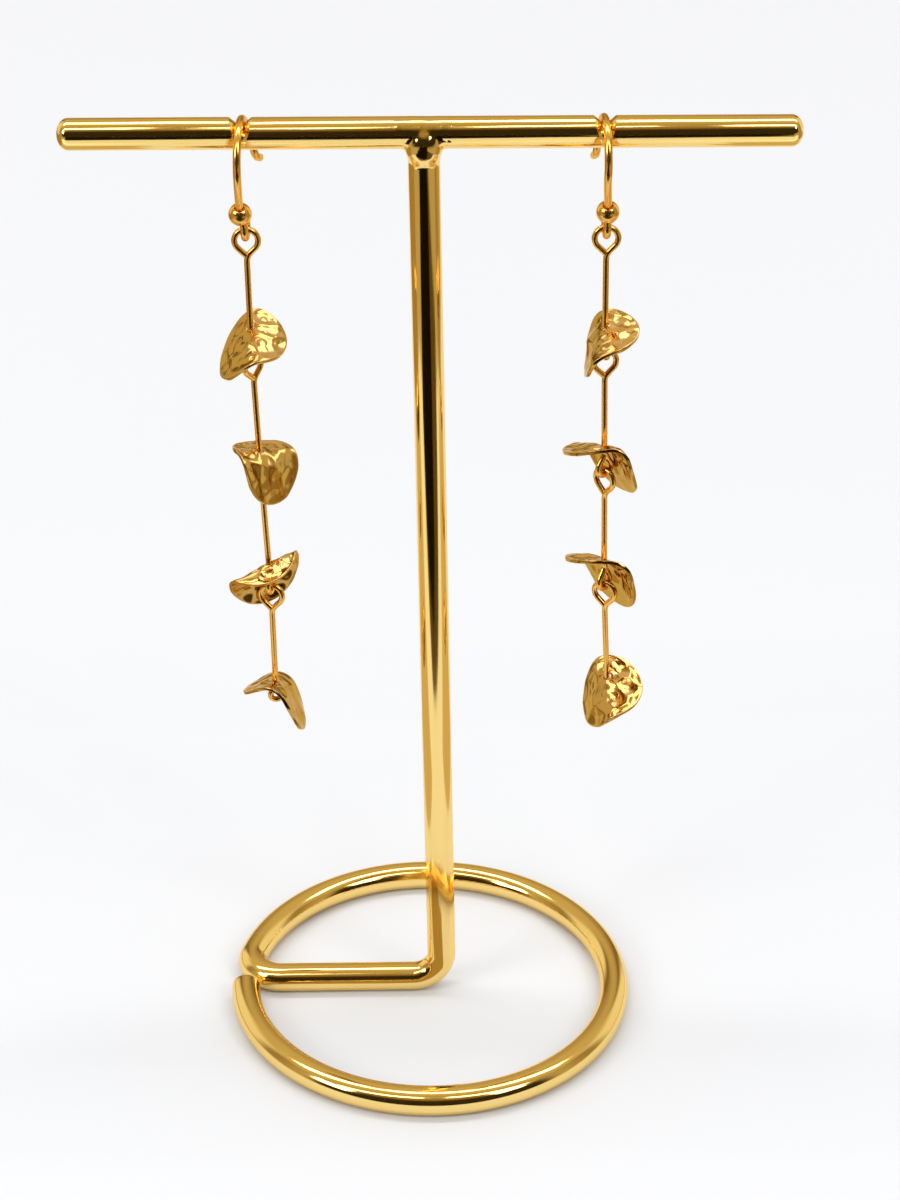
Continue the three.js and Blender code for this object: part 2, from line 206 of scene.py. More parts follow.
# %% Foot, corner and post
post_way = (POST_TOP - POST_CORNER).normalized()
half_corner = post_way.angle(-X_AXIS) / 2
corner_reach = POST_BEND_RADIUS / math.tan(half_corner)
corner_centre = POST_CORNER + (post_way - X_AXIS).normalized() * (POST_BEND_RADIUS / math.sin(half_corner))
select_points(
    bent_rod,
    lambda p: abs(p.x - bend_x) < CLOSE and abs(p.y - POST_CORNER.y) < 1.1 * ROD_RADIUS,
)
extrude((POST_CORNER.x - corner_reach - bend_x, 0, 0))
spin(180 - 2 * math.degrees(half_corner), corner_centre, X_AXIS.cross(post_way), BEND_STEPS)
extrude(POST_TOP - POST_CORNER - post_way * corner_reach)
bpy.ops.object.mode_set(mode="OBJECT")
print("rod:", len(bent_rod.data.vertices), "vertices, top at mm",
      round(1000 * max(v.co.z for v in bent_rod.data.vertices), 2))

# %% [markdown]
# The rod's free end was sawn off and its edge taken down with a file, so the open circle is filled and the
# edge of the new face is bevelled. Where the rod rests, the lowest points are pressed level with the table.

# %% Cut end and flat underside
END_BEVEL = 0.3 * MM
END_DEPTH = 0.02 * MM  # only the open circle lies this near the plane of the cut
TOP_DEPTH = 0.2 * MM
pick(bent_rod)
bpy.ops.object.mode_set(mode="EDIT")
select_points(bent_rod, lambda p: p.z > POST_TOP.z - TOP_DEPTH)
bpy.ops.mesh.edge_face_add()
end_tangent = Vector((-math.sin(math.radians(end_angle)), math.cos(math.radians(end_angle)), 0))
select_points(
    bent_rod,
    lambda p: abs((p - start).dot(end_tangent)) < END_DEPTH and p.x < -RING_RADIUS + 2 * ROD_RADIUS,
)
bpy.ops.mesh.edge_face_add()
bpy.ops.mesh.bevel(offset=END_BEVEL, segments=5, affect="EDGES")
select_points(bent_rod, lambda p: p.z < 0)
bpy.ops.transform.resize(value=(1, 1, 0), center_override=(0, 0, 0))
bpy.ops.mesh.select_all(action="SELECT")
bpy.ops.mesh.normals_make_consistent(inside=False)
bpy.ops.object.mode_set(mode="OBJECT")
shade_smooth_up_to(40)
print("rod box mm:", [round(1000 * c, 2) for c in bent_rod.dimensions])

# %% [markdown]
# ## The crossbar
# A length of the same rod with a low dome turned on each end, and two notches that keep the ear wires in
# place. It is a cylinder whose end faces are pushed out and shrunk in steps, like passes of a lathe tool.
# The notches are cut off centre: deep on top, running out below. A spinning V-shaped tool cuts them, so the
# cutter here is a short double cone and a boolean takes it away.

# %% Crossbar with domed ends
BAR_SEGMENTS = 96
BAR_DOME = 1.2 * MM
DOME_STEPS = 10
bar_half = stand_high.x - BAR_DOME
deselect()
bpy.ops.mesh.primitive_cylinder_add(
    vertices=BAR_SEGMENTS,
    radius=ROD_RADIUS,
    depth=2 * bar_half,
    location=BAR_AXIS,
    rotation=(0, math.pi / 2, 0),
)
crossbar = open_new("crossbar")
for side in (-1, 1):
    select_points(crossbar, lambda p: abs(p.x - side * bar_half) < CLOSE)
    reach = 0
    width = 1
    for step in range(1, DOME_STEPS):
        turn = math.pi / 2 * step / DOME_STEPS
        extrude((side * (BAR_DOME * math.sin(turn) - reach), 0, 0))
        shrink = math.cos(turn) / width
        bpy.ops.transform.resize(value=(1, shrink, shrink), center_override=BAR_AXIS)
        reach = BAR_DOME * math.sin(turn)
        width = math.cos(turn)
bpy.ops.object.mode_set(mode="OBJECT")
print("crossbar length mm:", round(1000 * crossbar.dimensions.x, 2))

# %% Notches
NOTCH_X = {"left": -19.4 * MM, "right": 17.75 * MM}
NOTCH_FLOOR_RADIUS = 1.24 * MM
NOTCH_DROP = 0.45 * MM
NOTCH_FLOOR_HALF = 0.12 * MM
NOTCH_SLOPE = 1.2
NOTCH_REACH = 1.1 * MM
NOTCH_BEVEL = 0.05 * MM


def cut_notch(x):
    """Take a V-groove off the crossbar with a ring-shaped tool, set lower than the bar's axis."""
    centre = Vector((x, BAR_AXIS.y, BAR_AXIS.z - NOTCH_DROP))
    outer = NOTCH_FLOOR_RADIUS + NOTCH_REACH
    wide = NOTCH_FLOOR_HALF + NOTCH_SLOPE * NOTCH_REACH
    deselect()
    bpy.ops.mesh.primitive_plane_add(size=1, location=centre)
    tool = open_new("notch_tool")
    bpy.ops.mesh.merge(type="CENTER")
    bpy.ops.transform.translate(value=(-NOTCH_FLOOR_HALF, 0, NOTCH_FLOOR_RADIUS))
    extrude((NOTCH_FLOOR_HALF - wide, 0, outer - NOTCH_FLOOR_RADIUS))
    extrude((2 * wide, 0, 0))
    extrude((NOTCH_FLOOR_HALF - wide, 0, NOTCH_FLOOR_RADIUS - outer))
    select_points(tool, lambda p: p.z < centre.z + NOTCH_FLOOR_RADIUS + CLOSE)
    bpy.ops.mesh.edge_face_add()
    bpy.ops.mesh.select_all(action="SELECT")
    spin(360, centre, X_AXIS, BAR_SEGMENTS)
    bpy.ops.mesh.select_all(action="SELECT")
    bpy.ops.mesh.remove_doubles(threshold=CLOSE)
    bpy.ops.mesh.delete_loose()
    bpy.ops.mesh.select_all(action="SELECT")
    bpy.ops.mesh.normals_make_consistent(inside=False)
    bpy.ops.object.mode_set(mode="OBJECT")
    pick(crossbar)
    apply_modifier(crossbar, "BOOLEAN", operation="DIFFERENCE", object=tool, solver="EXACT")
    bpy.data.objects.remove(tool)


for x in NOTCH_X.values():
    cut_notch(x)
apply_modifier(
    crossbar,
    "BEVEL",
    width=NOTCH_BEVEL,
    segments=3,
    limit_method="ANGLE",
    angle_limit=math.radians(25),
    harden_normals=True,
)
shade_smooth_up_to(30)
print("crossbar after notching:", len(crossbar.data.vertices), "vertices")

# %% [markdown]
# ## The solder
# Post and crossbar are brazed together, and the metal that ran into the joint stands as a lump in front, with
# hollow shoulders where the two rods meet. An egg shape and a stub of each rod are joined, remeshed to one
# skin and smoothed: smoothing fills the inner corners and lets the stubs sink just under the real rods.

# %% Solder lump
SOLDER_SIZE = (1.93, 1.75, 2.45)  # half widths of the lump
SOLDER_PLACE = BAR_AXIS + Vector((-0.76, -0.55, -1.35)) * MM
JOINT = Vector((POST_TOP.x, BAR_AXIS.y, BAR_AXIS.z))
STUB_RADIUS = ROD_RADIUS + 0.02 * MM
BAR_STUB = 3.3 * MM
POST_STUB = 5 * MM
SOLDER_VOXEL = 0.1 * MM
SOLDER_SMOOTHING = 60
PUDDLE_SIZE = 1.5 * MM
PUDDLE_DEPTH = 0.06 * MM


def add_stub(way, length):
    """Add a short length of rod that runs from the joint in the given direction."""
    bpy.ops.mesh.primitive_cylinder_add(
        vertices=64,
        radius=STUB_RADIUS,
        depth=length,
        location=JOINT + way * length / 2,
        rotation=way.to_track_quat("Z", "Y").to_euler(),
    )


puddle = bpy.data.textures.new("solder_puddle", "CLOUDS")
puddle.noise_scale = PUDDLE_SIZE
deselect()
bpy.ops.mesh.primitive_uv_sphere_add(segments=64, ring_count=32, radius=MM, location=SOLDER_PLACE)
solder = open_new("solder")
bpy.ops.transform.resize(value=SOLDER_SIZE, center_override=SOLDER_PLACE)
add_stub(-X_AXIS, BAR_STUB)
add_stub(X_AXIS, BAR_STUB)
add_stub(-post_way, POST_STUB)
bpy.ops.object.mode_set(mode="OBJECT")
apply_modifier(solder, "REMESH", mode="VOXEL", voxel_size=SOLDER_VOXEL)
apply_modifier(solder, "SMOOTH", factor=0.5, iterations=SOLDER_SMOOTHING)
apply_modifier(
    solder,
    "DISPLACE",
    texture=puddle,
    texture_coords="LOCAL",
    strength=PUDDLE_DEPTH,
    mid_level=0.5,
)
apply_modifier(solder, "SUBSURF", levels=1, render_levels=1)
bpy.ops.object.shade_smooth()
print("solder:", len(solder.data.polygons), "faces")

# %% [markdown]
# ## Ear wires
# Each ear wire is bent from one length of round wire: a flicked tail, an arch that drops over the crossbar,
# a leg that comes forward and back, and a small closed loop that carries the drop. A single point is pushed
# along the straights and spun round the arch and the loop, just as the wire goes round a mandrel, and the
# line is then given its thickness.

# %% Ear wire sizes
EAR_WIRE_RADIUS = 0.415 * MM
ARCH_RADIUS = 4 * MM
ARCH_LIFT = 1.32 * MM
ARCH_SWEEP = 190  # degrees over the crossbar, from level with the arch's centre
BALL_RADIUS = 1.21 * MM
BALL_PLACE = (1.35 * MM, -8.25 * MM)  # forward of the seat, and above it
LOOP_PLACE = (0.1 * MM, -10.2 * MM)
LOOP_RADIUS = 1.05 * MM
LOOP_START = 20  # degrees above level
LOOP_SWEEP = 235
TAIL_PLACES = [(-5.15 * MM, -4.5 * MM), (-4.55 * MM, -4.2 * MM), (-4.12 * MM, -3.6 * MM)]
LEG_HANDLES = [(3.55 * MM, -4.9 * MM), (2.35 * MM, -6.9 * MM)]
LEG_LEAN = 0.8  # the lower handle's share of the ball's sideways lean
LEG_POINTS = 14
ARCH_STEPS = 40
HOOK_LOOP_STEPS = 32
TAIL_REACH = 7.5 * MM  # how far up the wire the tail's sideways lean is felt
# turn in degrees; tail, ball and loop: how far each stands sideways from the hook's plane
EAR_WIRES = {
    "left": {"turn": 4.5, "tail": 1.3 * MM, "ball": -0.15 * MM, "loop": 0.2 * MM},
    "right": {"turn": -2, "tail": -0.45 * MM, "ball": 0.4 * MM, "loop": 0.45 * MM},
}
print("ear wires:", ", ".join(EAR_WIRES))

# %% Turning a line into round wire
WIRE_ROUNDNESS = 5
WIRE_END_ROUNDING = 0.4  # as a share of the wire's radius
WIRE_WELD = 0.0001 * MM


def line_to_wire(line, radius):
    """Give a line of edges a round section, close its ends and round them off."""
    pick(line)
    bpy.ops.object.convert(target="CURVE")
    line = bpy.context.object
    line.data.bevel_depth = radius
    line.data.bevel_resolution = WIRE_ROUNDNESS
    line.data.use_fill_caps = True
    bpy.ops.object.convert(target="MESH")
    wire = bpy.context.object
    bpy.ops.object.mode_set(mode="EDIT")
    bpy.ops.mesh.select_all(action="SELECT")
    bpy.ops.mesh.remove_doubles(threshold=WIRE_WELD)
    bpy.ops.mesh.normals_make_consistent(inside=False)
    bpy.ops.mesh.select_mode(type="FACE")
    bpy.ops.mesh.select_all(action="DESELECT")
    bpy.ops.mesh.select_face_by_sides(number=4, type="GREATER")
    bpy.ops.mesh.bevel(offset=WIRE_END_ROUNDING * radius, segments=3, affect="EDGES")
    bpy.ops.object.mode_set(mode="OBJECT")
    shade_smooth_up_to(50)
    return wire


print("wire sections have", 4 * WIRE_ROUNDNESS + 4, "sides")

# %% Bend one ear wire


def ear_wire(side):
    """The wire, where its ball sits, and which way the wire runs through the ball."""
    shape = EAR_WIRES[side]
    turn = math.radians(shape["turn"])
    forward = Vector((-math.sin(turn), -math.cos(turn), 0))
    sideways = Vector((math.cos(turn), -math.sin(turn), 0))
    seat = Vector((NOTCH_X[side], BAR_AXIS.y, BAR_AXIS.z))

    def at(ahead, up, swing=0):
        return seat + forward * ahead + Z_AXIS * up + sideways * swing

    def arc_place(centre, radius, degrees, swing=0):
        angle = math.radians(degrees)
        return at(centre[0] + radius * math.cos(angle), centre[1] + radius * math.sin(angle), swing)

    arch_centre = (0, ARCH_LIFT - ARCH_RADIUS)
    arch_start = arc_place(arch_centre, ARCH_RADIUS, 180)
    arch_end = arc_place(arch_centre, ARCH_RADIUS, 180 - ARCH_SWEEP)
    ball = at(*BALL_PLACE, shape["ball"])
    handles = [at(*LEG_HANDLES[0]), at(*LEG_HANDLES[1], LEG_LEAN * shape["ball"])]
    leg = interpolate_bezier(arch_end, *handles, ball, LEG_POINTS)
    loop_start = arc_place(LOOP_PLACE, LOOP_RADIUS, LOOP_START, shape["loop"])
    tail, flick, rise = [at(*place) for place in TAIL_PLACES]

    line = start_point("ear_wire_" + side, tail)
    walk(tail, [flick, rise, arch_start])
    spin(ARCH_SWEEP, at(*arch_centre), sideways, ARCH_STEPS)
    walk(arch_end, [*leg[1:], loop_start])
    spin(LOOP_SWEEP, at(*LOOP_PLACE, shape["loop"]), sideways, HOOK_LOOP_STEPS)
    select_points(line, lambda p: (p - tail).length < CLOSE)
    bpy.ops.transform.translate(
        value=tuple(sideways * shape["tail"]),
        use_proportional_edit=True,
        proportional_edit_falloff="SHARP",
        proportional_size=TAIL_REACH,
    )
    bpy.ops.object.mode_set(mode="OBJECT")
    wire = line_to_wire(line, EAR_WIRE_RADIUS)
    return wire, ball, (leg[-1] - leg[-3]).normalized()


ear_wires = {}
ball_places = {}
for side in EAR_WIRES:
    ear_wires[side], place, way = ear_wire(side)
    ball_places[side] = (place, way)
    print(ear_wires[side].name, "box mm:", [round(1000 * c, 2) for c in ear_wires[side].dimensions])

# %% [markdown]
# ## The ball on each ear wire
# A small hollow ball is threaded on the leg and soldered. A sphere alone would meet the wire in a razor
# edge, so its poles are turned to the wire and the faces round each pole are pushed in for the drilled hole
# with its softened lip.

# %% Balls
HOLE_SHARE = 1.25  # width of the drilled hole, as a share of the wire's width
HOLE_DEPTH = 0.22 * MM


def ear_ball(side):
    place, way = ball_places[side]
    hole = HOLE_SHARE * EAR_WIRE_RADIUS
    deselect()
    bpy.ops.mesh.primitive_uv_sphere_add(
        segments=64,
        ring_count=40,
        radius=BALL_RADIUS,
        location=place,
        rotation=way.to_track_quat("Z", "Y").to_euler(),
    )
    ball = open_new("ear_ball_" + side)
    for end in (-1, 1):
        select_points(
            ball,
            lambda p: (p - place).dot(way) * end > 0
            and ((p - place) - way * (p - place).dot(way)).length < hole,
        )
        bpy.ops.transform.translate(value=tuple(way * -end * HOLE_DEPTH))
    bpy.ops.object.mode_set(mode="OBJECT")
    shade_smooth_up_to(40)
    return ball


ear_balls = {side: ear_ball(side) for side in EAR_WIRES}
print("balls:", [ball.name for ball in ear_balls.values()])

# %% [markdown]
# ## Link wires
# Every link is a bit of thin wire with a kite-shaped eye at the top and a loop at the bottom; the last one
# ends in a small curl under its petal. Each is bent the same way as the ear wires: the point starts at the
# cut end, runs up one side, spins round the crown, and comes back down in a soft bend to the stem, where it
# closes on the cut end. An eye that closes on its stem is what makes a wire link read as wire.

# %% Link sizes
LINK_WIRE_RADIUS = 0.33 * MM
LINK_PITCH = 14.05 * MM
LINK_PLAY = 0.07 * MM
LINKS = (1, 2, 3, 4)
EYE = {"radius": 1.25 * MM, "height": 3.0 * MM}
LOOP = {"radius": 0.9 * MM, "height": 2.55 * MM}
CUT_END_GAP = 0.12 * MM  # from the point of an eye or loop back to the wire's cut end
NECK = 0.7 * MM  # from the point of an eye or loop to where the stem is straight
SHOULDER = 0.75  # how far down its side a kite stays straight
CURL_RADIUS = 0.65 * MM
CURL_DROP = 2.35 * MM  # from the petal's hole to the lowest point of the curl
CURL_START = 20  # degrees above level
CURL_SWEEP = 250
CURL_NECK = 2.6  # where the stem starts to bend, above the curl's centre, as a share of its radius
CURL_BEND = (1.5, 0.6)  # reach of the bend's upper and lower handle, as a share of the same
BEND_POINTS = 10
EYE_STEPS = 24
LOOP_STEPS = 20
first_eye = BAR_AXIS.z + LOOP_PLACE[1] - LOOP_RADIUS + EAR_WIRE_RADIUS + LINK_WIRE_RADIUS + LINK_PLAY
# How the links of each earring hang: the sideways place of each eye and the distance down to each petal's
# hole, both in mm, and how far each eye and loop is turned from facing the front, in degrees. The last place
# is where a fifth eye would hang, and the last loop is the curl.
DROPS = {
    "left": {
        "places": (-19.2, -18.95, -18.35, -17.65, -17.4),
        "holes": (11.25, 11.5, 11.3, 12.4),
        "eyes": (0, 45, 15, -15),
        "loops": (-55, -75, 75, 8),
    },
    "right": {
        "places": (18.25, 18.5, 18.9, 19.3, 20.1),
        "holes": (11.25, 11.4, 11.3, 12.2),
        "eyes": (0, 8, -46, -28),
        "loops": (-75, 34, 46, 40),
    },
}
print("first eye's crown at mm:", round(1000 * first_eye, 2))

# %% Bend one link


def heading(degrees):
    return Vector((math.cos(math.radians(degrees)), math.sin(math.radians(degrees)), 0))


def kite(crown, up, across, shape):
    """Places on a kite: its centre, where its round begins and ends, its point, and the round's degrees."""
    radius = shape["radius"]
    centre = crown - up * radius
    point = crown - up * shape["height"]
    half = math.asin(radius / (shape["height"] - radius))
    sweep = 180 + 2 * math.degrees(half)
    left, right = [
        centre + (across * (way * radius * math.cos(half)) - up * (radius * math.sin(half)))
        for way in (-1, 1)
    ]
    return centre, left, right, point, sweep


def link_top(side, number):
    """Where the crown of a link's eye hangs."""
    above = number - 1
    return Vector((DROPS[side]["places"][above] * MM, BAR_AXIS.y, first_eye - above * LINK_PITCH))


def link(side, number):
    """A link of one earring, counted from the top."""
    drop = DROPS[side]
    top = link_top(side, number)
    bottom = link_top(side, number + 1)
    down = (bottom - top).normalized()
    across = heading(drop["eyes"][number - 1])
    centre, left, right, point, sweep = kite(top, -down, across, EYE)
    start = point + (left - point).normalized() * CUT_END_GAP
    stem = point + down * NECK
    line = start_point(f"bent_wire_{side}_{number}", start)
    walk(start, [left])
    spin(sweep, centre, across.cross(-down).normalized() * -1, EYE_STEPS)
    walk(right, interpolate_bezier(right, right.lerp(point, SHOULDER), point, stem, BEND_POINTS)[1:])
    across = heading(drop["loops"][number - 1])
    if number < LINKS[-1]:
        crown = bottom + down * (2 * LINK_WIRE_RADIUS + LINK_PLAY)
        centre, left, right, point, sweep = kite(crown, down, across, LOOP)
        neck = point - down * NECK
        walk(stem, [neck])
        walk(neck, interpolate_bezier(neck, point, right.lerp(point, SHOULDER), right, BEND_POINTS)[1:])
        spin(sweep, centre, across.cross(down).normalized(), LOOP_STEPS)
        walk(left, [point + (left - point).normalized() * CUT_END_GAP])
    else:
        lowest = top + down * (drop["holes"][number - 1] * MM + CURL_DROP)
        centre = lowest - down * CURL_RADIUS
        turn = math.radians(CURL_START)
        curl_start = centre + across * CURL_RADIUS * math.cos(turn) - down * CURL_RADIUS * math.sin(turn)
        neck = centre - down * (CURL_NECK * CURL_RADIUS)
        walk(stem, [neck])
        high = centre - down * (CURL_BEND[0] * CURL_RADIUS)
        out = curl_start - down * (CURL_BEND[1] * CURL_RADIUS)
        walk(neck, interpolate_bezier(neck, high, out, curl_start, 8)[1:])
        spin(CURL_SWEEP, centre, across.cross(down).normalized(), LOOP_STEPS)
    bpy.ops.object.mode_set(mode="OBJECT")
    return line_to_wire(line, LINK_WIRE_RADIUS)


link_wires = {}
for side in EAR_WIRES:
    for number in LINKS:
        link_wires[side, number] = link(side, number)
        wire = link_wires[side, number]
        print(wire.name, "box mm", [round(1000 * c, 2) for c in wire.dimensions])

# %% [markdown]
# ## Hammered petals
# A petal is a pierced disc of sheet metal, hammered all over on a block and then folded across. The frame
# holds the folded disc; a copy of it gets a hole drawn close to the wire, a softened edge and a fine surface,
# and the hammer comes last, as broad waves and smaller dents that move the real surface. True dents matter
# here, because mirror-bright metal shows every slope, and the edge of each petal should wander a little too.

# %% Copy a frame part


def copy_of_node(node, name):
    """A merged copy of a frame part, with its flat triangles paired back into four-sided faces."""
    pick(frame["nodes"][node])
    bpy.ops.object.duplicate()
    piece = bpy.context.object
    piece.name = name
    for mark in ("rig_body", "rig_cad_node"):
        del piece[mark]
    piece.parent = None
    piece.data.materials.clear()
    bpy.ops.object.mode_set(mode="EDIT")
    bpy.ops.mesh.select_all(action="SELECT")
    bpy.ops.mesh.remove_doubles(threshold=CLOSE)
    bpy.ops.mesh.tris_convert_to_quads(face_threshold=math.radians(40), shape_threshold=math.radians(60))
    return piece


print("copy helper ready")

# %% Hammer textures
DENT_SIZE = 2.25 * MM
WAVE_SIZE = 3.2 * MM

dents = bpy.data.textures.new("hammer_dents", "VORONOI")
dents.distance_metric = "DISTANCE_SQUARED"
dents.noise_scale = DENT_SIZE
dents.noise_intensity = 1
waves = bpy.data.textures.new("sheet_waves", "CLOUDS")
waves.noise_scale = WAVE_SIZE
waves.noise_depth = 1
print("dents", dents.noise_scale, "waves", waves.noise_scale)

# %% Hammer each petal
RIM_BEVEL = 0.09 * MM
RIM_SHARE = 0.2  # how much of the hammering reaches the rim and the hole
DENT_DEPTH = 0.62 * MM
WAVE_DEPTH = 0.28 * MM
HOLE_REACH = 0.9 * MM  # only the hole's own edge lies this near its centre
HOLE_DRAW = 0.68  # the piercing draws the sheet in round the wire
RIM_SHARPNESS = 55  # degrees: sharper edges are the sheet's rims
PETAL_LEVELS = 3
PETAL_SMOOTHING = 12


def hammered_petal(side, number):
    """The frame's petal on a link, with its hole drawn in, its rims softened and its sheet hammered."""
    petal = copy_of_node(f"petal_{side}_{number}", f"hammered_petal_{side}_{number}")
    share = DROPS[side]["holes"][number - 1] * MM / LINK_PITCH
    hole = link_top(side, number).lerp(link_top(side, number + 1), share)
    select_points(petal, lambda p: (p - hole).length < HOLE_REACH)
    bpy.ops.transform.resize(value=(HOLE_DRAW,) * 3, center_override=hole)
    bpy.ops.mesh.select_mode(type="EDGE")
    bpy.ops.mesh.select_all(action="DESELECT")
    bpy.ops.mesh.edges_select_sharp(sharpness=math.radians(RIM_SHARPNESS))
    bpy.ops.mesh.bevel(offset=RIM_BEVEL, segments=2, affect="EDGES")
    bpy.ops.mesh.select_mode(type="VERT")
    petal.vertex_groups.new(name="sheet")
    bpy.context.tool_settings.vertex_group_weight = RIM_SHARE
    bpy.ops.object.vertex_group_assign()
    bpy.ops.mesh.select_all(action="INVERT")
    bpy.context.tool_settings.vertex_group_weight = 1
    bpy.ops.object.vertex_group_assign()
    bpy.ops.object.mode_set(mode="OBJECT")
    apply_modifier(petal, "SUBSURF", levels=PETAL_LEVELS, render_levels=PETAL_LEVELS)
    for texture, depth in ((waves, WAVE_DEPTH), (dents, DENT_DEPTH)):
        apply_modifier(
            petal,
            "DISPLACE",
            texture=texture,
            texture_coords="LOCAL",
            strength=depth,
            mid_level=0.5,
            vertex_group="sheet",
        )
    apply_modifier(petal, "SMOOTH", factor=0.5, iterations=PETAL_SMOOTHING)
    petal.vertex_groups.clear()
    bpy.ops.object.shade_smooth()
    return petal


petals = {}
for side in EAR_WIRES:
    for number in LINKS:
        petals[side, number] = hammered_petal(side, number)
        petal = petals[side, number]
        size = [round(1000 * c, 2) for c in petal.dimensions]
        print(petal.name, len(petal.data.polygons), "faces, box mm", size)

# %% [markdown]
# ## Finishes
# All four golds share two effects, built once as node groups. The first moves the colour a little, as
# plating and handling do: paler where it is thin, warmer where it is thick. The second adds the fine
# unevenness of polished metal to the roughness and the surface, without which a mirror looks drawn.

# %% Small helpers for node groups


def new_group(name, inputs, outputs):
    """A node group with its sockets, and the nodes at its two ends."""
    group = bpy.data.node_groups.new(name, "ShaderNodeTree")
    for label, kind, value in inputs:
        socket = group.interface.new_socket(name=label, in_out="INPUT", socket_type=kind)
        socket.default_value = value
    for label, kind in outputs:
        group.interface.new_socket(name=label, in_out="OUTPUT", socket_type=kind)
    return group, group.nodes.new("NodeGroupInput"), group.nodes.new("NodeGroupOutput")


print("group helper ready")

# %% Group: plated colour
plated, given, result = new_group(
    "plated_colour",
    [
        ("Gold", "NodeSocketColor", (0.9, 0.62, 0.18, 1)),
        ("Thin Gold", "NodeSocketColor", (0.95, 0.72, 0.3, 1)),
        ("Scale", "NodeSocketFloat", 300.0),
        ("Amount", "NodeSocketFloat", 0.3),
    ],
    [("Color", "NodeSocketColor")],
)
place = plated.nodes.new("ShaderNodeTexCoord")
cloud = plated.nodes.new("ShaderNodeTexNoise")
cloud.inputs["Detail"].default_value = 4
share = plated.nodes.new("ShaderNodeMath")
share.operation = "MULTIPLY"
mix = plated.nodes.new("ShaderNodeMix")
mix.data_type = "RGBA"
plated.links.new(place.outputs["Object"], cloud.inputs["Vector"])
plated.links.new(given.outputs["Scale"], cloud.inputs["Scale"])
plated.links.new(cloud.outputs["Fac"], share.inputs[0])
plated.links.new(given.outputs["Amount"], share.inputs[1])
plated.links.new(share.outputs[0], mix.inputs["Factor"])
plated.links.new(given.outputs["Gold"], mix.inputs["A"])
plated.links.new(given.outputs["Thin Gold"], mix.inputs["B"])
plated.links.new(mix.outputs["Result"], result.inputs["Color"])
print("plated_colour:", len(plated.nodes), "nodes")

# %% Group: polish
RIPPLE_HEIGHT = 0.03 * MM
polish, given, result = new_group(
    "polish",
    [
        ("Scale", "NodeSocketFloat", 500.0),
        ("Roughness", "NodeSocketFloat", 0.08),
        ("Spread", "NodeSocketFloat", 0.05),
        ("Depth", "NodeSocketFloat", 0.1),
    ],
    [("Roughness", "NodeSocketFloat"), ("Normal", "NodeSocketVector")],
)
place = polish.nodes.new("ShaderNodeTexCoord")
smear = polish.nodes.new("ShaderNodeTexNoise")
smear.inputs["Detail"].default_value = 5
smear.inputs["Roughness"].default_value = 0.6
spread = polish.nodes.new("ShaderNodeMath")
spread.operation = "MULTIPLY_ADD"
ripple = polish.nodes.new("ShaderNodeBump")
ripple.inputs["Distance"].default_value = RIPPLE_HEIGHT
polish.links.new(place.outputs["Object"], smear.inputs["Vector"])
polish.links.new(given.outputs["Scale"], smear.inputs["Scale"])
polish.links.new(smear.outputs["Fac"], spread.inputs[0])
polish.links.new(given.outputs["Spread"], spread.inputs[1])
polish.links.new(given.outputs["Roughness"], spread.inputs[2])
polish.links.new(smear.outputs["Fac"], ripple.inputs["Height"])
polish.links.new(given.outputs["Depth"], ripple.inputs["Strength"])
polish.links.new(spread.outputs[0], result.inputs["Roughness"])
polish.links.new(ripple.outputs["Normal"], result.inputs["Normal"])
print("polish:", len(polish.nodes), "nodes")

# %% The four golds


def gold(name, colour, thin, edge, clouds, polishing):
    """A gold. Clouds: scale and amount of the thin colour. Polishing: scale, roughness, spread, ripple."""
    material = bpy.data.materials.new(name)
    material.use_nodes = True
    nodes = material.node_tree.nodes
    links = material.node_tree.links
    shader = nodes["Principled BSDF"]
    shader.inputs["Metallic"].default_value = 1
    shader.inputs["Specular Tint"].default_value = (*edge, 1)
    tone = nodes.new("ShaderNodeGroup")
    tone.node_tree = plated
    tone.inputs["Gold"].default_value = (*colour, 1)
    tone.inputs["Thin Gold"].default_value = (*thin, 1)
    for label, value in zip(("Scale", "Amount"), clouds):
        tone.inputs[label].default_value = value
    finish = nodes.new("ShaderNodeGroup")
    finish.node_tree = polish
    for label, value in zip(("Scale", "Roughness", "Spread", "Depth"), polishing):
        finish.inputs[label].default_value = value
    links.new(tone.outputs["Color"], shader.inputs["Base Color"])
    links.new(finish.outputs["Roughness"], shader.inputs["Roughness"])
    links.new(finish.outputs["Normal"], shader.inputs["Normal"])
    return material


STAND_GOLD = (0.95, 0.68, 0.23)
STAND_THIN = (0.97, 0.74, 0.31)
EARRING_GOLD = (0.9, 0.5, 0.11)
EARRING_THIN = (0.95, 0.6, 0.2)
# The petals' gold is set much darker than the stand's as painted shade: it stands in for the dimmer
# surroundings that the petals reflect, and their own panels give them their glints.
PETAL_GOLD = (0.52, 0.3, 0.066)
PETAL_THIN = (0.64, 0.41, 0.125)
PALE_EDGE = (1, 0.9, 0.75)
WARM_EDGE = (0.9, 0.72, 0.45)
STAND_POLISH = (300, 0.07, 0.06, 0.04)
EARRING_POLISH = (900, 0.18, 0.08, 0.05)
PETAL_POLISH = (1400, 0.09, 0.08, 0.08)
stand_gold = gold("stand_gold", STAND_GOLD, STAND_THIN, PALE_EDGE, (120, 0.3), STAND_POLISH)
hook_gold = gold("hook_gold", EARRING_GOLD, EARRING_THIN, WARM_EDGE, (400, 0.5), EARRING_POLISH)
wire_gold = gold("wire_gold", EARRING_GOLD, EARRING_THIN, WARM_EDGE, (400, 0.4), EARRING_POLISH)
petal_gold = gold("petal_gold", PETAL_GOLD, PETAL_THIN, WARM_EDGE, (350, 0.3), PETAL_POLISH)
print("golds:", [m.name for m in (stand_gold, hook_gold, wire_gold, petal_gold)])

# %% [markdown]
# ## Each piece on its body
# The stand and the two ear wires are one body, and each drop of links and petals swings as another.

# %% Dress, ride and replace


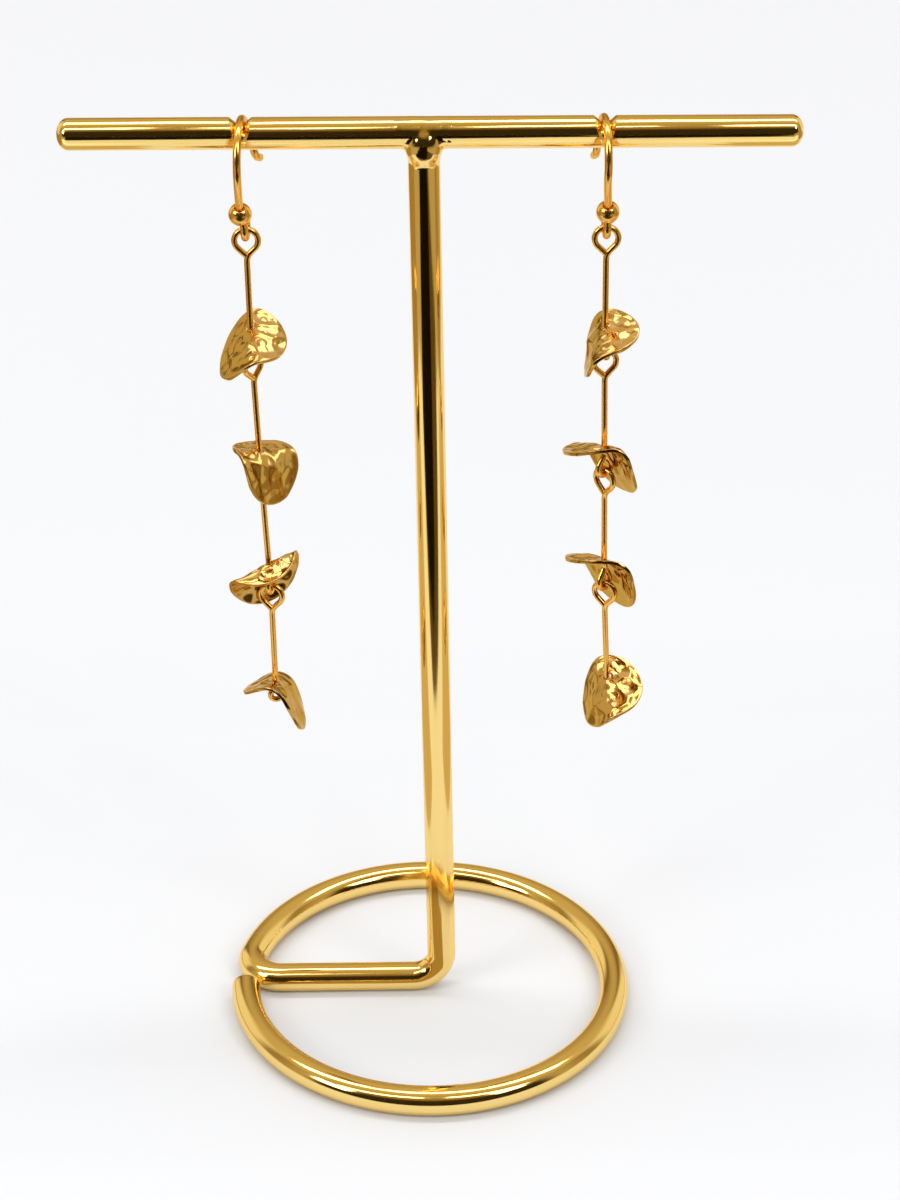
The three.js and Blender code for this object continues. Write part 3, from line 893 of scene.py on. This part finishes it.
def settle(piece, body, node, material):
    """Give a finished piece its gold and its body, and hide the frame part that it stands for."""
    piece.data.materials.clear()
    piece.data.materials.append(material)
    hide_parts(node)
    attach(piece, body)


for piece in (bent_rod, crossbar, solder):
    settle(piece, "stand", "display_stand", stand_gold)
for side in EAR_WIRES:
    settle(ear_wires[side], "stand", "ear_hook_" + side, hook_gold)
    settle(ear_balls[side], "stand", "ear_hook_" + side, hook_gold)
    for number in LINKS:
        drop = "drop_" + side
        settle(link_wires[side, number], drop, f"link_wire_{side}_{number}", wire_gold)
        settle(petals[side, number], drop, f"petal_{side}_{number}", petal_gold)

# %% [markdown]
# ## Studio
# Polished gold has hardly any colour of its own: it shows what stands round it. So a pale table stands in
# an even, soft light, while reflections see a warm room: dark in front, where the viewer is, lighter at the
# sides and behind. The table itself is plain for the eye. Cards lie on it that only reflections see, as
# black paper is laid in front of a piece of jewellery to draw a dark line down a bright rod. The cards are
# painted reflections: dark and tan sheets that stand in for shade round the stand, and that the eye never
# sees.

# %% Table
# The lamps light the middle of the table most, so the cloth's colour is painted darker in the middle and
# paler outwards, as painted shade that evens out the lamps' pool of light, and all of it looks alike.
TABLE_WIDTH = 12
TABLE_TONE = (0.657, 0.662, 0.672, 1)
FAR_TONE = (0.93, 0.93, 0.94, 1)
TONE_FROM = 0.15  # metres from the middle of the table
TONE_TO = 1.9
deselect()
bpy.ops.mesh.primitive_plane_add(size=TABLE_WIDTH, location=(0, 0, 0))
table = bpy.context.object
table.name = "table"
table_white = bpy.data.materials.new("table_white")
table_white.use_nodes = True
table_shader = table_white.node_tree.nodes["Principled BSDF"]
table_shader.inputs["Roughness"].default_value = 0.7
table_shader.inputs["Specular IOR Level"].default_value = 0.2
cloth = table_white.node_tree
spot = cloth.nodes.new("ShaderNodeTexCoord")
reach = cloth.nodes.new("ShaderNodeVectorMath")
reach.operation = "LENGTH"
outward = cloth.nodes.new("ShaderNodeMapRange")
outward.inputs["From Min"].default_value = TONE_FROM
outward.inputs["From Max"].default_value = TONE_TO
blend = cloth.nodes.new("ShaderNodeMix")
blend.data_type = "RGBA"
blend.inputs["A"].default_value = TABLE_TONE
blend.inputs["B"].default_value = FAR_TONE
cloth.links.new(spot.outputs["Object"], reach.inputs[0])
cloth.links.new(reach.outputs["Value"], outward.inputs["Value"])
cloth.links.new(outward.outputs["Result"], blend.inputs["Factor"])
cloth.links.new(blend.outputs["Result"], table_shader.inputs["Base Color"])
table.data.materials.append(table_white)
print("table:", [round(side, 2) for side in table.dimensions])

# %% Room: tones from front to back and round the horizon
OVER = [  # degrees from the front horizon over the top, and the tone there
    (0, (0.03, 0.02, 0.007)), (27, (0.05, 0.03, 0.01)), (36, (0.17, 0.11, 0.04)), (45, (0.33, 0.22, 0.07)),
    (62, (0.42, 0.32, 0.14)), (90, (0.66, 0.53, 0.28)), (125, (0.6, 0.48, 0.26)), (180, (0.52, 0.41, 0.22)),
]
ROUND = [  # degrees round from the front, to either side
    (0, (0.03, 0.02, 0.007)), (58, (0.03, 0.02, 0.007)), (72, (0.5, 0.4, 0.22)), (95, (0.34, 0.25, 0.12)),
    (112, (0.9, 0.82, 0.66)), (140, (0.92, 0.86, 0.7)), (152, (0.22, 0.15, 0.06)), (165, (0.42, 0.32, 0.17)),
    (180, (0.5, 0.4, 0.22)),
]


def angle_ramp(tree, stops):
    """A colour ramp over half a turn, whose stops are given in degrees."""
    ramp = tree.nodes.new("ShaderNodeValToRGB")
    ramp.color_ramp.interpolation = "EASE"
    elements = ramp.color_ramp.elements
    while len(elements) < len(stops):
        elements.new(0.5)
    for element, (degrees, tone) in zip(elements, stops):
        element.position = degrees / 180
        element.color = (*tone, 1)
    return ramp


def angle_of(tree, up, along):
    """The angle of two parts of a direction, from 0 to 1 for half a turn."""
    turn = tree.nodes.new("ShaderNodeMath")
    turn.operation = "ARCTAN2"
    tree.links.new(up, turn.inputs[0])
    tree.links.new(along, turn.inputs[1])
    size = tree.nodes.new("ShaderNodeMath")
    size.operation = "ABSOLUTE"
    tree.links.new(turn.outputs[0], size.inputs[0])
    share = tree.nodes.new("ShaderNodeMath")
    share.operation = "DIVIDE"
    share.inputs[1].default_value = math.pi
    tree.links.new(size.outputs[0], share.inputs[0])
    return share.outputs[0]


world = bpy.data.worlds.new("studio_room")
bpy.context.scene.world = world
world.use_nodes = True
room = world.node_tree
background = room.nodes["Background"]
way = room.nodes.new("ShaderNodeTexCoord")
parts = room.nodes.new("ShaderNodeSeparateXYZ")
forward = room.nodes.new("ShaderNodeMath")
forward.operation = "MULTIPLY"
forward.inputs[1].default_value = -1
room.links.new(way.outputs["Generated"], parts.inputs[0])
room.links.new(parts.outputs["Y"], forward.inputs[0])
over = angle_ramp(room, OVER)
room.links.new(angle_of(room, parts.outputs["Z"], forward.outputs[0]), over.inputs["Fac"])
around = angle_ramp(room, ROUND)
room.links.new(angle_of(room, parts.outputs["X"], forward.outputs[0]), around.inputs["Fac"])
print("room tones:", len(OVER), "over,", len(ROUND), "round")

# %% Room: only reflections see the tones
EVEN_LIGHT = (0.8, 0.8, 0.808, 1)
ROUND_UP_TO = 28  # degrees above the horizon
OVER_FROM = 46
height = room.nodes.new("ShaderNodeMapRange")
height.interpolation_type = "SMOOTHSTEP"
height.inputs["From Min"].default_value = math.sin(math.radians(ROUND_UP_TO))
height.inputs["From Max"].default_value = math.sin(math.radians(OVER_FROM))
room.links.new(parts.outputs["Z"], height.inputs["Value"])
tones = room.nodes.new("ShaderNodeMix")
tones.data_type = "RGBA"
room.links.new(height.outputs["Result"], tones.inputs["Factor"])
room.links.new(around.outputs["Color"], tones.inputs["A"])
room.links.new(over.outputs["Color"], tones.inputs["B"])
ray = room.nodes.new("ShaderNodeLightPath")
seen = room.nodes.new("ShaderNodeMix")
seen.data_type = "RGBA"
seen.inputs["A"].default_value = EVEN_LIGHT
room.links.new(ray.outputs["Is Glossy Ray"], seen.inputs["Factor"])
room.links.new(tones.outputs["Result"], seen.inputs["B"])
room.links.new(seen.outputs["Result"], background.inputs["Color"])
print("room nodes:", len(room.nodes))

# %% [markdown]
# ## Lights
# A polished rod shows every lamp as a line along it, so the lamps are panels put where their lines should
# fall: a long strip over the crossbar, a strip high in front to either side, and a softbox at each side.
# Round lamps would leave dots instead. The same light gives the table its soft, faint shadows.

# %% Light panels
BAR_HEIGHT = BAR_AXIS.z
MIDDLE = Vector((0, 0, 0.06))  # half way up the stand
OVERHEAD_DISTANCE = 1.5  # metres from the crossbar
OVERHEAD_ANGLE = 101  # degrees up from level, so a little behind
STRIP_DISTANCE = 1
STRIP_ANGLE = 57
FRONT_STRIPS = {"front_strip_left": -0.467, "front_strip_right": 0.514}  # how far along the crossbar


def panel(name, place, aim, wide, tall, radiance, tint=(1, 1, 1)):
    """A rectangle of light that faces the place it is aimed at, in metres."""
    light = bpy.data.lights.new(name, "AREA")
    light.shape = "RECTANGLE"
    light.size = wide
    light.size_y = tall
    light.energy = radiance * math.pi * wide * tall
    light.color = tint
    thing = bpy.data.objects.new(name, light)
    thing.location = place
    thing.rotation_euler = (Vector(aim) - Vector(place)).to_track_quat("-Z", "Y").to_euler()
    thing.visible_camera = False
    bpy.context.scene.collection.objects.link(thing)
    return thing


def above_bar(distance, degrees, x=0):
    """A place in front of the crossbar, so many degrees up from level."""
    turn = math.radians(degrees)
    return (x, -distance * math.cos(turn), BAR_HEIGHT + distance * math.sin(turn))


overhead = above_bar(OVERHEAD_DISTANCE, OVERHEAD_ANGLE)
panel("overhead_strip", overhead, BAR_AXIS, wide=2.4, tall=0.28, radiance=6)
for name, x in FRONT_STRIPS.items():
    in_front = above_bar(STRIP_DISTANCE, STRIP_ANGLE, x)
    panel(name, in_front, (x, 0, BAR_HEIGHT), wide=0.8, tall=0.14, radiance=4.5)
panel("left_softbox", (-0.74, -0.47, 0.52), MIDDLE, wide=0.34, tall=0.28, radiance=7)
panel("right_softbox", (0.56, -0.55, 0.66), MIDDLE, wide=0.25, tall=0.25, radiance=6)

# %% [markdown]
# ## Cards
# With nothing but a white table below, the post and the ring would shine pale all over. The cards lie just
# over the table. Only mirror reflections see them: they have no shadow, and the table stays white to the eye.
# They are painted reflections: sheets that stand in for the shade that the metal reflects.
# The black one darkens the upper post and the crossbar, and the brown and tan ones shade the rods' sides.

# %% Cards that only reflections see


def card(name, tone, height, outline):
    """A card laid flat over the table. Its height and its outline from above are in mm."""
    mesh = bpy.data.meshes.new(name)
    corners = [(x * MM, y * MM, height * MM) for x, y in outline]
    mesh.from_pydata(corners, [], [tuple(range(len(corners)))])
    thing = bpy.data.objects.new(name, mesh)
    bpy.context.scene.collection.objects.link(thing)
    paper = bpy.data.materials.new(name)
    paper.use_nodes = True
    shader = paper.node_tree.nodes["Principled BSDF"]
    shader.inputs["Base Color"].default_value = (*tone, 1)
    shader.inputs["Roughness"].default_value = 0.9
    shader.inputs["Specular IOR Level"].default_value = 0
    mesh.materials.append(paper)
    thing.visible_camera = False
    thing.visible_diffuse = False
    thing.visible_shadow = False


# Each card's tone is a painted reflection: a sheet that only mirror reflections see, standing in for shade
# round the stand.
card("cream_card", (0.335, 0.27, 0.145), 0.3, [
    (-200, 200), (-170, -70), (-100, -140), (100, -150), (180, -60), (200, 200),
    (5000, 900), (5000, -5500), (-5000, -5500), (-5000, 900),
])
card("brown_card", (0.07, 0.045, 0.012), 0.6, [
    (-22, -66), (-60, -79), (-110, -93), (-110, -300), (122, -300), (185, -115),
    (123, -93), (57, -77), (0, -69),
])
card("black_card", (0.005, 0.003, 0.0005), 1, [
    (0, -88), (-60, -92), (-123, -96), (-150, -150), (-158, -208), (-2500, -5500),
    (2500, -5500), (200, -600), (90, -230), (60, -160), (30, -110),
])
card("near_card_left", (0.45, 0.36, 0.2), 0.4, [(-33, -34), (-36, 50), (-150, 100), (-150, -30)])
card("foot_card", (0.32, 0.22, 0.08), 0.4, [(-19, -12), (-19, -4), (-5, -3), (3, -4), (3, -17), (-8, -20)])
card("near_card_right", (0.45, 0.36, 0.2), 0.4, [(40, -40), (170, -50), (170, 70), (44, 44)])
card("tan_card_left", (0.26, 0.18, 0.07), 0.8, [
    (-160, -22), (-120, 120), (-300, 700), (-900, 100), (-420, -100),
])
card("tan_card_right", (0.26, 0.18, 0.07), 0.8, [(190, -40), (600, -120), (600, 120), (170, 40)])

# %% Light from the table for the crossbar
# The crossbar sees the near table over the black card's edge, so a low panel lights it alone.
crossbar_only = bpy.data.collections.new("crossbar_only")
crossbar_only.objects.link(crossbar)
bounce_place = Vector((0, -0.15, 0.002))
bounce = panel("table_bounce", bounce_place, bounce_place + Z_AXIS, wide=0.6, tall=0.16, radiance=0.94)
bounce.light_linking.receiver_collection = crossbar_only

# %% Sparkle for the petals
# Small bright panels that light the petals alone: each dent that leans the right way catches one. The last
# is a broad, soft one behind, for the wings that face up.
petals_only = bpy.data.collections.new("petals_only")
for petal in petals.values():
    petals_only.objects.link(petal)
COOL = (0.5, 0.58, 1)
SPARKLE = 1.55  # strength of them all together
PETAL_LIGHTS = [  # degrees round from the front to the right, degrees up, size in metres, radiance
    (-160, 32, 0.3, 2.2), (-118, 48, 0.34, 3.2), (-84, 26, 0.3, 2.6), (-70, 64, 0.3, 3.6), (-42, 42, 0.26, 3),
    (-12, 74, 0.34, 3.4), (8, 52, 0.24, 4), (38, 34, 0.24, 2.4), (52, 66, 0.32, 3.6), (88, 42, 0.36, 3),
    (122, 24, 0.3, 2.6), (150, 56, 0.36, 3.4), (-25, 24, 0.16, 2.5), (176, 36, 0.95, 0.65),
]
for count, (round_by, up_by, size, radiance) in enumerate(PETAL_LIGHTS, 1):
    place = Matrix.Rotation(math.radians(round_by), 3, "Z") @ Vector(
        (0, -math.cos(math.radians(up_by)), math.sin(math.radians(up_by)))
    )
    sparkle = panel(f"petal_light_{count}", MIDDLE + place, MIDDLE, size, size, SPARKLE * radiance, COOL)
    sparkle.light_linking.receiver_collection = petals_only

# %% [markdown]
# ## Camera
# The camera looks down on the stand by about thirty degrees from the front, a little to the left of its
# middle. The Standard view keeps the table white and the golds as strong as they are set.

# %% Camera
CAMERA_PLACE = Vector((-6.53, -278.73, 210.33)) * MM
CAMERA_YAW = 1.778
CAMERA_PITCH = 29.319
CAMERA_ROLL = 0.314
CAMERA_LENS = 57.9
SENSOR_HEIGHT = 24

camera_data = bpy.data.cameras.new("camera")
camera_data.sensor_fit = "VERTICAL"
camera_data.sensor_height = SENSOR_HEIGHT
camera_data.lens = CAMERA_LENS
camera_data.clip_start = 0.01
camera = bpy.data.objects.new("camera", camera_data)
bpy.context.scene.collection.objects.link(camera)
camera.matrix_world = (
    Matrix.Translation(CAMERA_PLACE)
    @ Matrix.Rotation(math.radians(-CAMERA_YAW), 4, "Z")
    @ Matrix.Rotation(math.radians(90 - CAMERA_PITCH), 4, "X")
    @ Matrix.Rotation(math.radians(CAMERA_ROLL), 4, "Z")
)
bpy.context.scene.camera = camera
bpy.context.scene.view_settings.view_transform = "Standard"
print("camera at mm:", [round(1000 * c, 1) for c in camera.location])
